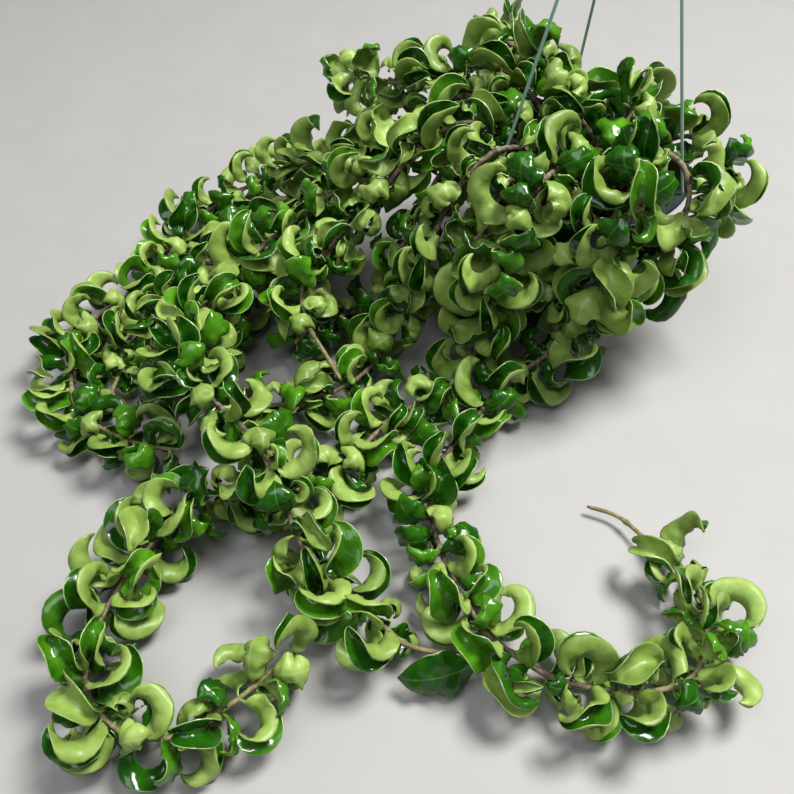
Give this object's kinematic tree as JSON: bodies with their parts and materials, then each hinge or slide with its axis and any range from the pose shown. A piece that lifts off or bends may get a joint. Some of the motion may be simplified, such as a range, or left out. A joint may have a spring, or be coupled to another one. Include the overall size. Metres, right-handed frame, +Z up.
{
  "type": "potted hoya plant",
  "caption": "Rope hoya with curled glossy leaves in a plastic hanging pot, its long stems trailing over the rim and along the surface.",
  "frame": {"origin": "middle of the pot's base, on the surface that it stands on", "axes": "+Z up along the pot's axis; the picture was taken from the -Y side, with +X to its right; the vines trail towards -X and -Y"},
  "size_m": [0.5648, 0.5791, 0.4964],
  "materials": {
    "pot_plastic": "dark green moulded polypropylene, satin",
    "potting_soil": "dark crumbly bark and peat mix, matt",
    "hanger_wire": "grey-green plastic-coated steel wire, satin",
    "leaf": "thick waxy leaves, deep green and glossy above, pale yellow-green beneath"
  },
  "bodies": {
    "root": {"pot": "pot_plastic", "soil": "potting_soil", "hanger_wire_1": "hanger_wire", "hanger_wire_2": "hanger_wire", "hanger_wire_3": "hanger_wire", "hanger_hook": "hanger_wire", "vine_top_back": "leaf", "vine_right_side": "leaf", "vine_front_right": "leaf", "vine_right_back": "leaf", "vine_top_left": "leaf", "vine_middle": "leaf", "vine_left_edge": "leaf", "vine_front_left": "leaf", "vine_left_hang": "leaf", "vine_crown": "leaf"}
  },
  "joints": []
}
